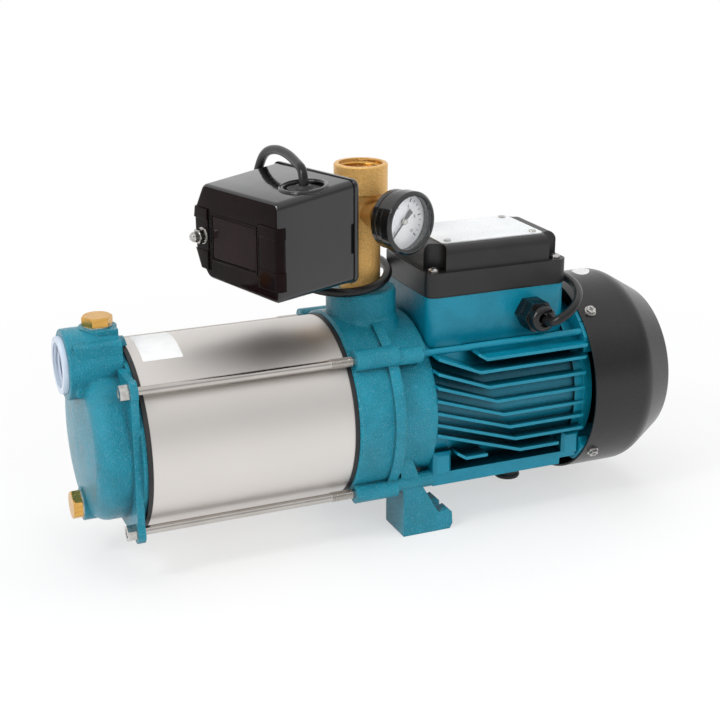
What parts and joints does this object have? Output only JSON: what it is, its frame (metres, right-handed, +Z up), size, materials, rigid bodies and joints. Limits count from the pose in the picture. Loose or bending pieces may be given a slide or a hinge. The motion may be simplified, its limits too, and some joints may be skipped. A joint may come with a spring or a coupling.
{
  "type": "horizontal multistage pump set",
  "caption": "Horizontal multistage stainless pump with finned motor, brass five-way fitting, pressure switch and pressure gauge on its discharge tower.",
  "frame": {"origin": "centre of the foot bolt slots, on the floor, under the shaft", "axes": "+X along the shaft from the suction port to the fan, +Z up through the discharge port"},
  "size_m": [0.4413, 0.1501, 0.2759],
  "materials": {
    "cast_teal": "satin speckled paint on casting",
    "motor_teal": "satin paint",
    "stainless_shell": "satin",
    "steel_rod": "bright",
    "shaft_steel": "ground",
    "brass": "sand-cast, machined faces",
    "black_rubber": "matte",
    "stage_plastic": "moulded",
    "seal_ceramic": "lapped",
    "seal_carbon": "lapped",
    "lamination_steel": "stacked",
    "winding_copper": "varnished",
    "black_sheet": "satin",
    "black_plastic": "fine grain",
    "black_gloss": "polished",
    "grey_plastic": "moulded",
    "terminal_plastic": "moulded",
    "white_plate": "smooth",
    "needle_black": "matte",
    "zinc_steel": "zinc plated",
    "clear_lens": "clear"
  },
  "bodies": {
    "pump_body": {"suction_cover": "cast_teal", "discharge_bracket": "cast_teal", "motor_housing": "motor_teal", "motor_through_bolts": "motor_teal", "rear_end_shield": "motor_teal", "pump_shell": "stainless_shell", "tie_rods": "steel_rod", "tie_rod_nuts": "steel_rod", "fan_cover_screws": "steel_rod", "lid_screws": "steel_rod", "lid_plate_screws": "steel_rod", "cover_acorn_nut": "steel_rod", "switch_studs": "steel_rod", "front_bearing_outer": "shaft_steel", "rear_bearing_outer": "shaft_steel", "priming_plug": "brass", "drain_plug": "brass", "five_way_fitting": "brass", "gauge_stem": "brass", "gauge_bourdon_tube": "brass", "switch_connector": "brass", "shell_seals": "black_rubber", "support_foot": "black_rubber", "plug_washers": "black_rubber", "lid_gasket": "black_rubber", "switch_lead": "black_rubber", "lead_grommet": "black_rubber", "stage_diffusers": "stage_plastic", "seal_seat": "seal_ceramic", "stator_core": "lamination_steel", "stator_windings": "winding_copper", "fan_cover": "black_sheet", "terminal_box_lid": "black_plastic", "cable_gland_body": "black_plastic", "cable_gland_nut": "black_plastic", "switch_cover": "black_gloss", "switch_base": "black_gloss", "gauge_case": "black_gloss", "gauge_bezel": "black_gloss", "suction_port_insert": "grey_plastic", "terminal_block": "terminal_plastic", "switch_terminal_block": "terminal_plastic", "run_capacitor": "terminal_plastic", "lid_plate": "white_plate", "gauge_dial": "white_plate", "switch_diaphragm_housing": "zinc_steel", "gauge_lens": "clear_lens"},
    "rotor": {"drive_shaft": "shaft_steel", "impellers": "stage_plastic", "impeller_nut": "shaft_steel", "impeller_spacer": "shaft_steel", "seal_ring": "seal_carbon", "rotor_core": "lamination_steel", "front_bearing_inner": "shaft_steel", "rear_bearing_inner": "shaft_steel", "cooling_fan": "black_plastic"},
    "gauge_needle": {"gauge_needle": "needle_black"},
    "switch_plunger": {"switch_plunger": "terminal_plastic"},
    "switch_lever": {"switch_lever": "steel_rod", "switch_range_spring": "steel_rod"}
  },
  "joints": [
    {"name": "rotor_spin", "type": "hinge", "parent": "pump_body", "child": "rotor", "pos_m": [-0.04, 0, 0.088], "axis": [1, 0, 0], "continuous": true},
    {"name": "needle_turn", "type": "hinge", "parent": "pump_body", "child": "gauge_needle", "pos_m": [-0.02565, -0.04265, 0.227], "axis": [-0.319, 0.9478, 0], "range_deg": [0, 270]},
    {"name": "plunger_push", "type": "slide", "parent": "pump_body", "child": "switch_plunger", "axis": [-0.9478, -0.319, 0], "range_m": [0, 0.0008]},
    {"name": "lever_tilt", "type": "hinge", "parent": "pump_body", "child": "switch_lever", "pos_m": [-0.07498, -0.04342, 0.223], "axis": [0, 0, 1], "range_deg": [0, 1.6]}
  ],
  "couplings": [
    {"joint": "lever_tilt", "follows": "plunger_push", "rad_per_m": 33.333}
  ]
}
